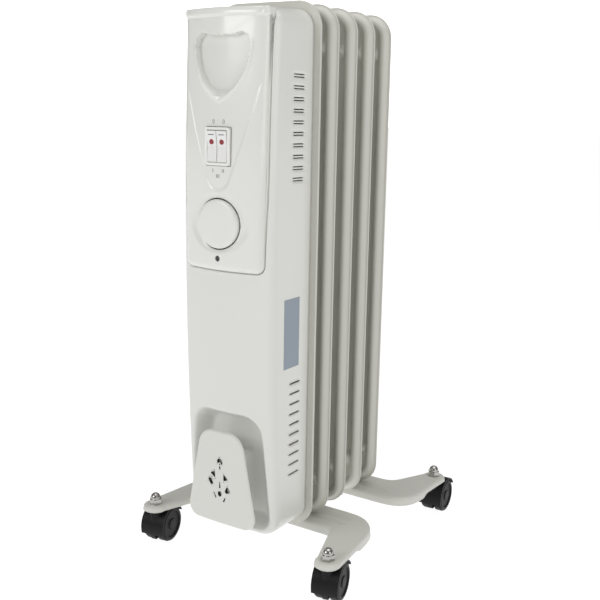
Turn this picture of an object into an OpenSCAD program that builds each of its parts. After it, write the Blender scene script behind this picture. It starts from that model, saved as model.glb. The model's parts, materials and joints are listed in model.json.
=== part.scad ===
// Oil filled radiator heater on two stamped feet with four twin-wheel casters.
// X runs across the heater, -Y is the control side, +Z is up, the floor is Z = 0.

/* [Radiator] */
// Overall height, floor to the top of the fins
overall_height = 625; // [520:1:750]
// Width of one fin
fin_width = 134; // [110:1:170]
// Radius of the fin outline's corners
fin_corner = 28; // [15:1:45]
// Distance between two fins
fin_pitch = 38.4; // [32:0.1:46]
// Distance from the first fin to the second
first_pitch = 34.2; // [30:0.1:46]
// Sheet thickness of a pressed fin half
fin_sheet = 1.2; // [0.8:0.1:2]
// Width of the seam flange outside the oil channel
seam_width = 2; // [1.5:0.1:5]
// Half the width of the oil channel round the edge
channel_radius = 5; // [4:0.1:7]
// Height of the straight part of the oil channel's wall
channel_wall = 2.5; // [1:0.1:4]
// Outside radius of the header cups
cup_radius = 24; // [18:0.5:30]
// Distance from the fin's end to the header's centre
header_inset = 46; // [40:0.5:60]
// Radius of the hole that joins two fins
header_hole = 14; // [10:0.5:16]

/* [Housing] */
// Half width of the electrical housing
housing_half = 59.5; // [50:0.5:64]
// Wall thickness of the mouldings
wall = 2.5; // [1.8:0.1:4]
// How far the housing's front stands forward at its middle
housing_front = 75.5; // [60:0.5:90]
// Margin between the housing and the fin outline
housing_margin = 7.6; // [5:0.1:12]
// Radius of the housing's upright front corners
housing_round = 8.6; // [4:0.1:14]
// Radius of the housing front in plan
plan_radius = 173; // [120:1:300]
// Radius of the housing front in side view
bow_radius = 4300; // [2500:10:8000]
// Height of the most forward point of the bow
bow_height = 370; // [300:1:420]

/* [Control panel] */
// Half width of the raised control panel
panel_half = 50.5; // [44:0.5:54]
// How far the panel stands in front of the housing
panel_proud = 6.5; // [4:0.5:12]
// Height of the panel's lower edge
panel_base = 351; // [330:1:370]
// Radius of the thermostat knob
knob_radius = 25.3; // [18:0.1:30]
// Height of the knob's centre
knob_height = 400; // [380:1:420]
// Clear gap round the knob
knob_gap = 0.9; // [0.5:0.1:2]
// Height of the switch's centre
switch_height = 478; // [460:1:500]
// Width of one rocker
rocker_width = 12.6; // [10:0.1:16]
// Height of the switch's opening
rocker_length = 32.6; // [24:0.2:36]

/* [Feet and casters] */
// Width of a foot's crossbar
foot_width = 50; // [40:1:60]
// Sheet thickness of a foot
foot_sheet = 2.5; // [1.5:0.1:4]
// Half distance between the two front casters
front_track = 121.5; // [100:0.5:140]
// Half distance between the two rear casters
rear_track = 116; // [100:0.5:140]
// Distance from the front crossbar to the front casters
front_reach = 89; // [60:1:110]
// Distance from the rear crossbar to the rear casters
rear_reach = 71; // [50:1:110]
// Radius of a caster wheel
wheel_radius = 21; // [18:0.5:26]
// Width of one caster wheel
wheel_width = 11; // [8:0.5:14]
// Height between the top of a caster's hood and the foot's upper face
caster_room = 6.6; // [5.6:0.1:14]
// Distance from the swivel axis to the wheel axle
caster_trail = 14; // [8:0.5:20]
// Radius of the caster's stem
stem_radius = 4; // [3:0.1:5]
// Running clearance between a shaft and its hole
running_gap = 0.05; // [0.02:0.01:0.1]

/* [Hidden] */
web_half = 3.2;
wheel_gap = 0.6;
hood_gap = 0.8;
hood_wall = 1.6;
hood_outer = wheel_radius + hood_gap + hood_wall;
hood_half = web_half + wheel_gap + wheel_width + 0.4;
// Height of the fins' lower edge, which rests on the feet over the casters
fin_base = wheel_radius + hood_outer + caster_room;
fin_y = [for (k = [0:4]) k == 0 ? fin_pitch - first_pitch : k * fin_pitch];
fin_height = overall_height - fin_base;
seat_y = fin_y[0] - 2;
channel_path = fin_width / 2 - seam_width - channel_radius;
channel_depth = channel_wall + channel_radius;
header_low = fin_base + header_inset;
header_high = overall_height - header_inset;
housing_top = overall_height - housing_margin;
housing_base = fin_base + housing_margin;
panel_front = housing_front + panel_proud;
panel_radius = 153;
panel_round = 8;
axis_offset = bow_radius - housing_front;
foot_y = [fin_y[1] + 2, fin_y[4] - 2];
foot_top = fin_base;
foot_drop = 10;
foot_hip = 101;
// Height of the fold where a caster swings under the foot's tip
tip_drop = caster_room - 0.8;
swing_radius = norm([caster_trail + hood_outer, hood_half]) + 1.6;
bead_radius = 2.4;
bead_offset = 7;
bead_length = 184;
tip_radius = 14.5;
caster_x = [-front_track, front_track, rear_track, -rear_track];
caster_front = foot_y[0] - front_reach;
caster_rear = foot_y[1] + rear_reach;
caster_y = [caster_front, caster_front, caster_rear, caster_rear];
caster_turn = [9, 12, 3, -5];
axle_radius = 2.5;
boss_radius = 7.5;
collar_height = 1;
stem_root = 2 * wheel_radius - 3;
boss_root = wheel_radius + 9;
slot_count = 10;
slot_pitch = 11.47;
slot_length = 19.2;
slot_height = 2;
slot_tops = [overall_height - 76, 228.5];
slot_y = -33.2;
hook_front = housing_front + 3;
hook_sheet = 4;
recess_floor = housing_front - 29;
gland_height = fin_base + 41;
gland_y = -22;
gland_bore = 4;
screw_height = 364.5;
screw_radius = 1.8;
shield_screw_x = 44;
shield_screw_z = [fin_base + 109, overall_height - 65];
rod_circle = 8;
rod_radius = 3;
rod_out = 14;
rocker_x = rocker_width / 2 + 0.1;
rocker_half = rocker_length / 2 - 1;
pin_radius = 1;
shaft_radius = 3;
pin_y = 6 - panel_front;
frame_half = rocker_length / 2;
lens_radius = 2.6;
lens_rise = 4.5;
switch_half = 12.8;
bezel_seat = panel_front - 2.6;
bezel_back = panel_front - 7;
knob_seat = panel_front - 7.5;
screw_seat = panel_front - 3;
lens_seat = panel_front - 0.8;
// Plane well behind the panel's face, where cuts and bosses start
panel_inside = panel_front - 22;
switch_frame = [
  [-switch_half + 1, switch_height + 1 - frame_half, 1],
  [switch_half - 1, switch_height + 1 - frame_half, 1],
  [switch_half - 1, switch_height + frame_half - 1, 1],
  [-switch_half + 1, switch_height + frame_half - 1, 1]
];
y_shift = -88.1;

$fn = 96;
paint = [0.86, 0.86, 0.83];
plastic = [0.88, 0.88, 0.85];
steel = [0.7, 0.7, 0.72];
black = [0.08, 0.08, 0.09];

// Outline round a counter-clockwise list of circles [x, y, r], grown by g
function heading(a, b) = atan2(b[1] - a[1], b[0] - a[0]);
function gap(a, b) = norm([b[0] - a[0], b[1] - a[1]]);
function side(a, b) = heading(a, b) - acos((a[2] - b[2]) / gap(a, b));
function on(c, t, g) = [c[0] + (c[2] + g) * cos(t), c[1] + (c[2] + g) * sin(t)];

module rounded(cs, g = 0) {
  n = len(cs);
  polygon([
    for (i = [0:n - 1])
      let (a = cs[i], b = cs[(i + 1) % n], t = side(a, b)) each [on(a, t, g), on(b, t, g)]
  ]);
  for (c = cs) {
    translate([c[0], c[1]]) circle(r = c[2] + g);
  }
}

// Upright rounded rectangle between two heights
function plate(half, low, high, r) = [
  [half - r, low + r, r], [half - r, high - r, r], [r - half, high - r, r], [r - half, low + r, r]
];

module place() {
  translate([0, y_shift, 0]) children();
}

// Stand a flat drawing (x, z) up, thick towards -Y from y
module upright(y, depth) {
  translate([0, y, 0]) rotate([90, 0, 0]) linear_extrude(depth) children();
}

// Carry a side view drawing (y, z) across the heater
module across(half) {
  translate([-half, 0, 0]) rotate([90, 0, 90]) linear_extrude(2 * half) children();
}

// ---- fins ----
module channel_section(r) {
  translate([0, channel_wall]) circle(r = r);
  translate([-r, -1]) square([2 * r, channel_wall + 1]);
}

// Oil channel round the edge, lying flat with its crest towards +Z
module edge_channel(r) {
  bend = fin_corner - fin_width / 2 + channel_path;
  run_x = channel_path - bend;
  run_y = fin_height / 2 - fin_width / 2 + channel_path - bend;
  for (i = [0:3]) {
    sx = (i == 0 || i == 3) ? 1 : -1;
    sy = i < 2 ? 1 : -1;
    translate([sx * run_x, sy * run_y, 0]) rotate([0, 0, 90 * i])
      rotate_extrude(angle = 90) translate([bend, 0]) channel_section(r);
  }
  for (s = [-1, 1]) {
    translate([s * channel_path, run_y, 0]) rotate([90, 0, 0]) linear_extrude(2 * run_y) channel_section(r);
    translate([-run_x, s * (run_y + bend), 0]) rotate([90, 0, 90])
      linear_extrude(2 * run_x) channel_section(r);
  }
}

// Upright flutes and cross channels that feed the header cups
module inner_channels(r) {
  rise = fin_height / 2 - header_inset;
  for (s = [-1, 1]) {
    translate([s * cup_radius * 0.8, 0, 0]) rotate([90, 0, 0])
      linear_extrude(2 * rise, center = true) channel_section(r);
    translate([0, s * rise, 0]) rotate([90, 0, 90])
      linear_extrude(2 * channel_path, center = true) channel_section(r);
  }
}

module cups(r, depth) {
  rise = fin_height / 2 - header_inset;
  for (s = [-1, 1]) {
    translate([0, s * rise, -1]) cylinder(r = r, h = depth + 1);
  }
}

// One pressed half with its crest towards +Z; cup_depth is the cup's full height
module half_shell(cup_depth, hole) {
  channel_r = channel_radius - fin_sheet;
  difference() {
    union() {
      linear_extrude(fin_sheet) rounded(plate(fin_width / 2, -fin_height / 2, fin_height / 2, fin_corner));
      edge_channel(channel_radius);
      inner_channels(channel_radius);
      cups(cup_radius, cup_depth);
    }
    edge_channel(channel_r);
    inner_channels(channel_r);
    cups(cup_radius - fin_sheet, cup_depth - fin_sheet);
    cups(hole, cup_depth + 1);
    translate([-fin_width, -fin_height, -cup_depth - 2]) cube([2 * fin_width, 2 * fin_height, cup_depth + 2]);
  }
}

module fin_front(k, cup_depth, hole) {
  color(paint) place() translate([0, fin_y[k], fin_base + fin_height / 2]) rotate([90, 0, 0])
    half_shell(cup_depth, hole);
}

module fin_rear(k, cup_depth, hole) {
  color(paint) place() translate([0, fin_y[k], fin_base + fin_height / 2]) rotate([90, 0, 0])
    mirror([0, 0, 1]) half_shell(cup_depth, hole);
}

// The first fin is closed by a flat sheet that carries the housing
module fin_1_front() {
  color(paint) place() difference() {
    upright(fin_y[0], fin_y[0] - seat_y)
      rounded(plate(fin_width / 2, fin_base, overall_height, fin_corner));
    for (z = [header_low, header_high]) {
      translate([0, seat_y - 1, z]) rotate([-90, 0, 0]) cylinder(r = header_hole, h = 10);
    }
  }
}

module fin_1_rear() {
  fin_rear(0, (fin_y[1] - fin_y[0]) / 2, header_hole);
}

module header_rings() {
  color(steel) place() for (k = [0:3], z = [header_low, header_high]) {
    translate([0, (fin_y[k] + fin_y[k + 1]) / 2 - 3, z]) rotate([-90, 0, 0]) difference() {
      cylinder(r = header_hole, h = 6);
      translate([0, 0, -1]) cylinder(r = header_hole - 2, h = 8);
    }
  }
}

module header_end_caps() {
  color(paint) place() for (z = [header_low, header_high]) {
    translate([0, fin_y[4] + channel_depth, z]) rotate([-90, 0, 0]) cylinder(r = header_hole + 4, h = 2);
  }
}

module oil_plug() {
  color(steel) place() translate([0, seat_y, header_high]) rotate([90, 0, 0]) {
    cylinder(r = header_hole + 3, h = 2);
    cylinder(r = 11, h = 7, $fn = 6);
    translate([0, 0, -8]) cylinder(r = header_hole, h = 9);
  }
}

// ---- heating element and wiring pieces ----
module element_flange() {
  color(steel) place() translate([0, seat_y, header_low]) rotate([90, 0, 0]) difference() {
    union() {
      cylinder(r = header_hole + 6, h = 3);
      translate([0, 0, -5]) cylinder(r = header_hole, h = 6);
    }
    for (a = [45:90:315]) {
      rotate([0, 0, a]) translate([rod_circle, 0, -6]) cylinder(r = rod_radius, h = 12);
    }
  }
}

// Two bent heater tubes that run through the lower headers
module heating_element() {
  reach = fin_y[4] - fin_y[0] - 4;
  bend = rod_circle * sin(45);
  color(steel) place() for (s = [-1, 1]) {
    for (t = [-1, 1]) {
      translate([t * bend, seat_y - rod_out, header_low + s * bend]) rotate([-90, 0, 0])
        cylinder(r = rod_radius, h = reach + rod_out);
    }
    translate([0, seat_y + reach, header_low + s * bend]) rotate_extrude(angle = 180)
      translate([bend, 0]) circle(r = rod_radius);
  }
}

module element_terminals() {
  color(steel) place() for (a = [45:90:315]) {
    translate([rod_circle * cos(a), seat_y - rod_out, header_low + rod_circle * sin(a)]) rotate([90, 0, 0]) {
      cylinder(r = 2.2, h = 3);
      translate([-3.2, -0.4, 2]) cube([6.4, 0.8, 8]);
    }
  }
}

// Plate that keeps the first fin's heat off the wiring
module heat_shield() {
  color(steel) place() difference() {
    upright(seat_y - 20, 1) rounded(plate(housing_half - wall - 4, fin_base + 59, housing_top - 22, 8));
    for (s = [-1, 1], z = shield_screw_z) {
      translate([s * shield_screw_x, seat_y - 30, z]) rotate([-90, 0, 0]) cylinder(r = 2, h = 30);
    }
  }
}

module shield_screws() {
  color(steel) place() for (s = [-1, 1], z = shield_screw_z) {
    translate([s * shield_screw_x, seat_y - 21, z]) rotate([-90, 0, 0]) {
      translate([0, 0, -2.4]) cylinder(r = 4, h = 2.4);
      cylinder(r = 2, h = 21);
      translate([0, 0, 1]) cylinder(r = 3.5, h = 20);
    }
  }
}

module thermal_cutout() {
  color(black) place() translate([30, seat_y - 21, overall_height - 105]) rotate([90, 0, 0]) {
    cylinder(r = 9, h = 6);
    translate([-12, -4, 0]) cube([24, 8, 1.5]);
  }
}

module terminal_block() {
  color([0.92, 0.92, 0.9]) place() difference() {
    translate([-34, seat_y - 37, 292]) cube([44, 16, 22]);
    for (i = [0:3]) {
      translate([-28.5 + i * 11, seat_y - 38, 303]) rotate([-90, 0, 0]) cylinder(r = 2.4, h = 6);
    }
  }
}

// ---- housing ----
// Half section in plan: forward distance on x, half width on y
module plan(half, r, front, rp, back) {
  corner = front - rp + sqrt(pow(rp - r, 2) - pow(half - r, 2));
  meet = rp * (half - r) / (rp - r);
  intersection() {
    translate([front - rp, 0]) circle(r = rp, $fn = 240);
    translate([back, -meet]) square([front - back + 1, 2 * meet]);
  }
  for (s = [-1, 1]) {
    translate([corner, s * (half - r)]) circle(r = r);
  }
  translate([back, -half]) square([corner - back, 2 * half]);
}

// Carry the plan section up the bowed front
module bowed(half, r, front, rp, back) {
  translate([0, axis_offset, bow_height]) rotate([-90, 0, 0]) rotate([0, 90, 0]) rotate([0, 0, -5])
    rotate_extrude(angle = 10, $fn = 720) translate([axis_offset, 0]) plan(half, r, front, rp, back);
}

module housing_side(g) {
  rise = 6.4;
  rounded([
    [-50, housing_base + 14, 14], [seat_y + 20, housing_base + 14, 14],
    [seat_y + 20, housing_top - 3, 3], [-panel_front - 2, housing_top - rise - 3, 3],
    [-panel_front - 2, housing_base + 60, 3]
  ], g);
}

// Front view of the housing; the plan section trims its sides
module housing_outline(g) {
  r = fin_corner - housing_margin;
  rounded(plate(housing_half + 0.02, housing_base, housing_top, r), g);
  translate([-housing_half - 5, housing_base + r])
    square([2 * housing_half + 10, housing_top - housing_base - 2 * r]);
}

module housing_solid(g) {
  intersection() {
    bowed(housing_half + g, housing_round + g, housing_front + g, plan_radius + g, -30);
    upright(60, 160) housing_outline(g);
    across(100) housing_side(g);
  }
}

module shield_outline(g) {
  lobe = overall_height - 48;
  intersection() {
    translate([-24.3, lobe]) circle(r = 58.3 + g);
    translate([24.3, lobe]) circle(r = 58.3 + g);
    translate([-60, lobe - 70]) square([120, 70]);
  }
  for (s = [-1, 1]) {
    translate([s * 22.5, lobe]) circle(r = 11.5 + g);
  }
  translate([-22.5, lobe - 1]) square([45, 10 + g]);
}

// Finger scoop of the carrying handle
module scoop(g) {
  intersection() {
    upright(-30, 70) shield_outline(g);
    translate([-60, -panel_front - 33, overall_height - 40]) rotate([0, 90, 0]) cylinder(r = 70 + g, h = 120);
  }
}

// Corner circles of the cord recess, heights from the fins' lower edge
recess_arch = [[40, 29, 14], [22, 122, 25], [-22, 122, 25], [-40, 29, 14]];

// Stand a drawing up with its heights counted from the fins' lower edge
module over_base(y, depth) {
  translate([0, 0, fin_base]) upright(y, depth) children();
}

module front_housing() {
  color(plastic) place() difference() {
    union() {
      difference() {
        housing_solid(0);
        housing_solid(-wall);
        translate([-80, seat_y, 0]) cube([160, 80, 700]);
      }
      // floor and walls of the cord recess
      intersection() {
        housing_solid(-wall / 2);
        over_base(wall - recess_floor, 40) rounded(recess_arch, wall);
      }
    }
    over_base(-recess_floor, 60) rounded(recess_arch);
    upright(-20, 100) rounded(plate(43, screw_height + 6.5, housing_top - 20, 6));
    for (s = [-1, 1], top = slot_tops, i = [0:slot_count - 1]) {
      translate([s * housing_half - 5, slot_y, top - i * slot_pitch - slot_height / 2])
        cube([10, slot_length, slot_height]);
    }
    translate([-housing_half - 5, gland_y, gland_height]) rotate([0, 90, 0]) cylinder(r = 7, h = 10);
    for (s = [-1, 1]) {
      translate([s * hook_screw_x, -recess_floor - 10, hook_screw_z]) rotate([-90, 0, 0])
        cylinder(r = hook_screw_r, h = 30);
    }
    translate([0, -panel_front - 8, screw_height]) rotate([-90, 0, 0]) cylinder(r = screw_radius, h = 30);
  }
}

module rating_label() {
  color([0.62, 0.67, 0.72]) place() translate([housing_half, -45.5, 247]) cube([0.3, 28, 75]);
}

// ---- control panel ----
panel_outline = [
  [panel_half - 8.98, panel_base + 9, 9], [panel_half - 4, housing_top + 20, 4],
  [4 - panel_half, housing_top + 20, 4], [8.98 - panel_half, panel_base + 9, 9]
];

module panel_face(g) {
  rounded(panel_outline, g);
  translate([-panel_half - 5, panel_base + 9]) square([2 * panel_half + 10, housing_top + 10 - panel_base]);
}

module panel_solid(g) {
  intersection() {
    bowed(panel_half + g, panel_round + g, panel_front + g, panel_radius + g, 30);
    upright(0, 160) panel_face(g);
    across(100) housing_side(g);
  }
}

module control_panel() {
  color(plastic) place() difference() {
    union() {
      difference() {
        panel_solid(0);
        panel_solid(-wall);
        bowed(housing_half, housing_round, housing_front, plan_radius, -30);
      }
      intersection() {
        scoop(wall);
        panel_solid(-0.5);
      }
      intersection() {
        translate([0, -panel_inside, knob_height]) rotate([90, 0, 0])
          cylinder(r = knob_radius + knob_gap + wall, h = 40);
        panel_solid(-0.5);
        translate([-50, -knob_seat - 15.5, 300]) cube([100, 15.5 + wall, 200]);
      }
      intersection() {
        translate([0, -housing_front, screw_height]) rotate([90, 0, 0]) cylinder(r = 5, h = 20);
        panel_solid(-0.5);
      }
      intersection() {
        upright(10 - panel_front, 30) rounded(switch_frame, 15 - switch_half + wall);
        panel_solid(-0.5);
      }
    }
    scoop(0);
    translate([0, -knob_seat, knob_height]) rotate([90, 0, 0]) cylinder(r = knob_radius + knob_gap, h = 20);
    translate([0, -panel_inside, knob_height]) rotate([90, 0, 0]) cylinder(r = 5, h = 30);
    upright(-panel_inside, 40) rounded(switch_frame, 14 - switch_half);
    upright(-bezel_seat, 10) rounded(switch_frame, 15.6 - switch_half);
    translate([0, 10 - panel_inside, screw_height]) rotate([90, 0, 0]) cylinder(r = screw_radius, h = 40);
    translate([0, -screw_seat, screw_height]) rotate([90, 0, 0]) cylinder(r = 3, h = 10);
  }
}

module panel_screw() {
  color(steel) place() translate([0, -screw_seat, screw_height]) rotate([90, 0, 0]) {
    cylinder(r = 2.9, h = 1.5);
    translate([0, 0, -14]) cylinder(r = screw_radius, h = 14);
  }
}

module switch_bezel() {
  color([0.93, 0.93, 0.92]) place() difference() {
    union() {
      upright(-bezel_back, 6) rounded(switch_frame, 13.8 - switch_half);
      upright(-bezel_seat, 2.6) rounded(switch_frame, 15.5 - switch_half);
    }
    upright(12 - panel_front, 20) rounded(switch_frame);
    pivot(pin_radius);
  }
}

// Level line that both rockers turn on
module pivot(r) {
  translate([-switch_half - 0.6, pin_y, switch_height]) rotate([0, 90, 0])
    cylinder(r = r, h = 2 * switch_half + 1.2);
}

module rocker_pin() {
  color(steel) place() pivot(pin_radius);
}

module switch_body() {
  color(black) place() difference() {
    upright(24 - bezel_back, 24) rounded(switch_frame, 0.6);
    upright(10 - bezel_back, 12) rounded(switch_frame, -0.3);
  }
}

// Side view of a rocker: depth behind the panel's front, then height from the pivot line
rocker_side = [
  [-0.3, -rocker_half], [0.4, 0], [-1.7, rocker_half], [10, rocker_half - 1.6], [16, 0],
  [10, 1.6 - rocker_half]
];

module rocker(s) {
  color([0.95, 0.95, 0.94]) place() difference() {
    translate([s * rocker_x - rocker_width / 2 + 0.4, -panel_front, switch_height]) rotate([90, 0, 90])
      linear_extrude(rocker_width - 0.8) polygon(rocker_side);
    translate([s * rocker_x, -lens_seat, switch_height + lens_rise]) rotate([90, 0, 0])
      cylinder(r = lens_radius, h = 9);
    pivot(pin_radius + running_gap);
  }
}

module lens(s) {
  color([0.55, 0.05, 0.07]) place() translate([s * rocker_x, -lens_seat, switch_height + lens_rise])
    rotate([90, 0, 0]) cylinder(r = lens_radius, h = 1.4);
}

module thermostat_knob() {
  color(plastic) place() difference() {
    translate([0, -knob_seat - 0.7, knob_height]) rotate([90, 0, 0]) rotate_extrude() polygon([
      [0, 0], [knob_radius - 1, 0], [knob_radius, 1], [knob_radius, 6.8], [knob_radius - 0.8, 7.6],
      [0, 8.2]
    ]);
    translate([0, 0.5 - knob_seat, knob_height]) rotate([90, 0, 0]) cylinder(r = shaft_radius, h = 5);
    translate([-0.6, -panel_front - 1.6, knob_height + knob_radius - 13.3]) cube([1.2, 1.2, 10]);
  }
}

module thermostat_shaft() {
  color(steel) place() translate([0, 5 - panel_inside, knob_height]) rotate([90, 0, 0])
    cylinder(r = shaft_radius, h = 24);
}

module thermostat_body() {
  color([0.8, 0.72, 0.5]) place() difference() {
    union() {
      translate([-18, 4 - panel_inside, knob_height - 16]) cube([36, 1.5, 32]);
      translate([-13, 5.5 - panel_inside, knob_height - 14]) cube([26, panel_inside - 5.5 + seat_y - 21, 28]);
    }
    translate([0, 10 - panel_inside, knob_height]) rotate([90, 0, 0])
      cylinder(r = shaft_radius + running_gap, h = 10);
  }
}

module cord_gland() {
  color(black) place() translate([-housing_half, gland_y, gland_height]) rotate([0, -90, 0]) difference() {
    union() {
      translate([0, 0, -6]) cylinder(r = 7, h = 8);
      cylinder(r = 9, h = 3);
      cylinder(r = 6.4, h = 14);
      translate([0, 0, -6]) cylinder(r = 8.5, h = 6 - wall);
    }
    translate([0, 0, -7]) cylinder(r = gland_bore, h = 22);
  }
}

// ---- cord hook with plug parking holes ----
// Heights in these lists count from the fins' lower edge
hook_outline = [[31, 33, 14], [10.5, 105, 20], [-10.5, 105, 20], [-31, 33, 14]];
hook_neck = [[-14, 45, 6], [14, 45, 6], [14, 95, 6], [-14, 95, 6]];
hook_screw_x = 12;
hook_screw_z = fin_base + 69;
hook_screw_r = 1.9;
// Round pin holes [x, z, r], three-cornered ones [x, z, r, turn] and slits [x, z, length, turn]
pin_holes = [[-13, 66.5, 2.8], [10, 60, 3.2], [0, 54, 2.6]];
cluster_holes = [[-9, 76, 3.4, 30], [7, 74, 3.4, 90]];
slit_holes = [[0, 64, 6.5, 0], [-7, 51, 6.5, 25], [6, 48, 5.5, -25]];

// Blind holes from the paddle's face into its neck
module hook_hole() {
  over_base(16.5 - hook_front, 30) children();
}

module cord_hook() {
  color(plastic) place() difference() {
    union() {
      over_base(hook_sheet - hook_front, hook_sheet) rounded(hook_outline);
      over_base(-recess_floor, hook_front - recess_floor - 1.5) rounded(hook_neck);
    }
    hook_hole() {
      translate([0, 91]) circle(r = 3.8);
      translate([-1.2, 82.5]) square([2.4, 8.5]);
      for (p = pin_holes) {
        translate([p[0], p[1]]) circle(r = p[2]);
      }
      for (p = cluster_holes) {
        translate([p[0], p[1]]) rotate([0, 0, p[3]]) circle(r = p[2], $fn = 3);
      }
      for (p = slit_holes) {
        translate([p[0], p[1]]) rotate([0, 0, p[3]]) square([1.1, p[2]], center = true);
      }
    }
    for (s = [-1, 1]) {
      translate([s * hook_screw_x, -recess_floor - 10, hook_screw_z]) rotate([-90, 0, 0])
        cylinder(r = hook_screw_r, h = 20);
    }
  }
}

module hook_screws() {
  color(steel) place() for (s = [-1, 1]) {
    translate([s * hook_screw_x, wall - recess_floor, hook_screw_z]) rotate([90, 0, 0]) {
      translate([0, 0, -2]) cylinder(r = 3.4, h = 2);
      cylinder(r = hook_screw_r, h = 12);
    }
  }
}

// ---- feet ----
module foot_outline(reach, track, g) {
  bar = foot_width / 2;
  rounded([[foot_hip, 0, bar], [-foot_hip, 0, bar]], g);
  for (s = [-1, 1]) {
    tip = [s * track, -reach, tip_radius];
    hip = [s * foot_hip, 0, bar];
    rounded(s > 0 ? [tip, hip] : [hip, tip], g);
  }
}

module foot(reach, track) {
  difference() {
    union() {
      difference() {
        translate([0, 0, foot_top - foot_drop]) linear_extrude(foot_drop) foot_outline(reach, track, 0);
        translate([0, 0, foot_top - foot_drop - 1]) linear_extrude(foot_drop + 1 - foot_sheet)
          foot_outline(reach, track, -foot_sheet);
      }
      for (s = [-1, 1]) {
        translate([-bead_length / 2, s * bead_offset, foot_top + 1]) rotate([0, 90, 0])
          cylinder(r = bead_radius + foot_sheet, h = bead_length);
      }
    }
    for (s = [-1, 1]) {
      translate([-bead_length / 2, s * bead_offset, foot_top + 1]) rotate([0, 90, 0])
        cylinder(r = bead_radius, h = bead_length);
    }
    translate([-150, -40, foot_top]) cube([300, 80, 20]);
    for (s = [-1, 1]) {
      translate([s * track, -reach, foot_top - 20]) cylinder(r = stem_radius, h = 30);
      translate([s * track, -reach, foot_top - 20]) cylinder(r = swing_radius, h = 20 - tip_drop);
    }
  }
}

bolt_x = cup_radius + 4;
bolt_r = 2.5;
bolt_y = [(fin_y[1] + fin_y[2]) / 2, (fin_y[3] + fin_y[4]) / 2];

module bolt_holes(y) {
  for (s = [-1, 1]) {
    translate([s * bolt_x, y, foot_top - 20]) cylinder(r = bolt_r + 0.4, h = 30);
  }
}

module front_foot() {
  color(paint) place() difference() {
    translate([0, foot_y[0], 0]) foot(front_reach, front_track);
    bolt_holes(bolt_y[0]);
  }
}

module rear_foot() {
  color(paint) place() difference() {
    translate([0, foot_y[1], 0]) mirror([0, 1, 0]) foot(rear_reach, rear_track);
    bolt_holes(bolt_y[1]);
  }
}

module u_bolts() {
  color(steel) place() for (y = bolt_y) {
    for (s = [-1, 1]) {
      translate([s * bolt_x, y, 34]) cylinder(r = bolt_r, h = header_low - 34);
    }
    translate([0, y, header_low]) rotate([90, 0, 0]) rotate_extrude(angle = 180)
      translate([bolt_x, 0]) circle(r = bolt_r);
  }
}

module wing_nuts() {
  color(steel) place() for (y = bolt_y, s = [-1, 1]) {
    translate([s * bolt_x, y, foot_top - foot_sheet - 6]) difference() {
      union() {
        cylinder(r = 5, h = 6);
        translate([-10, -1, -3]) cube([20, 2, 7]);
      }
      translate([0, 0, -4]) cylinder(r = bolt_r, h = 20);
    }
  }
}

// ---- casters ----
module at_caster(i) {
  place() translate([caster_x[i], caster_y[i], 0]) rotate([0, 0, caster_turn[i]]) children();
}

module caster_stems() {
  color(steel) for (i = [0:3]) {
    at_caster(i) {
      translate([0, 0, stem_root]) cylinder(r = stem_radius, h = foot_top + 8 - stem_root);
      translate([0, 0, foot_top - foot_sheet - collar_height]) cylinder(r = boss_radius, h = collar_height);
    }
  }
}

module cap_nuts() {
  color([0.85, 0.85, 0.87]) for (i = [0:3]) {
    at_caster(i) difference() {
      union() {
        translate([0, 0, foot_top]) cylinder(r = 7.5, h = 6.5, $fn = 6);
        translate([0, 0, foot_top + 7.5]) sphere(r = 6);
        translate([0, 0, foot_top + 5]) cylinder(r = 6, h = 2.5);
      }
      translate([0, 0, foot_top - 1]) cylinder(r = stem_radius, h = 9);
    }
  }
}

module hood_mask() {
  translate([caster_trail, wheel_radius]) polygon([[0, 0], [-40, -14], [-40, 60], [30, 60], [30, 18]]);
}

module hood(i) {
  color(black) at_caster(i) difference() {
    union() {
      difference() {
        intersection() {
          translate([-hood_half, caster_trail, wheel_radius]) rotate([0, 90, 0])
            cylinder(r = hood_outer, h = 2 * hood_half);
          across(40) hood_mask();
        }
        translate([-hood_half - 1, caster_trail, wheel_radius]) rotate([0, 90, 0])
          cylinder(r = hood_outer - hood_wall, h = 2 * hood_half + 2);
      }
      intersection() {
        translate([-web_half, caster_trail, wheel_radius]) rotate([0, 90, 0])
          cylinder(r = hood_outer, h = 2 * web_half);
        across(40) polygon([[-20, 6], [-20, 60], [46, 60], [46, 16], [20, 8]]);
      }
      intersection() {
        translate([0, 0, boss_root])
          cylinder(r = boss_radius, h = foot_top - foot_sheet - collar_height - 0.3 - boss_root);
        difference() {
          translate([-20, -20, boss_root - 5]) cube([40, 40, 40]);
          for (x = [web_half, -web_half - 20]) {
            translate([x, caster_trail, wheel_radius]) rotate([0, 90, 0])
              cylinder(r = wheel_radius + hood_gap, h = 20);
          }
        }
      }
    }
    translate([0, 0, stem_root - 0.5]) cylinder(r = stem_radius + running_gap, h = 20);
    translate([-40, caster_trail, wheel_radius]) rotate([0, 90, 0]) cylinder(r = axle_radius, h = 80);
  }
}

module axle(i) {
  color(steel) at_caster(i) translate([-web_half - 9, caster_trail, wheel_radius]) rotate([0, 90, 0])
    cylinder(r = axle_radius, h = 2 * web_half + 18);
}

module wheel(i, s) {
  r = wheel_radius;
  w = wheel_width;
  color(black) at_caster(i) translate([s * (web_half + wheel_gap), caster_trail, wheel_radius])
    rotate([0, s * 90, 0]) difference() {
      rotate_extrude() polygon([
        [0, 0], [r - 1, 0], [r, 1], [r, w - 3], [r - 1, w - 1], [r - 3, w], [r - 5, w],
        [r - 6, w - 1.5], [7, w - 1.5], [6, w - 0.2], [0, w]
      ]);
      translate([0, 0, -1]) cylinder(r = axle_radius + running_gap, h = 11);
    }
}

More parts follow.
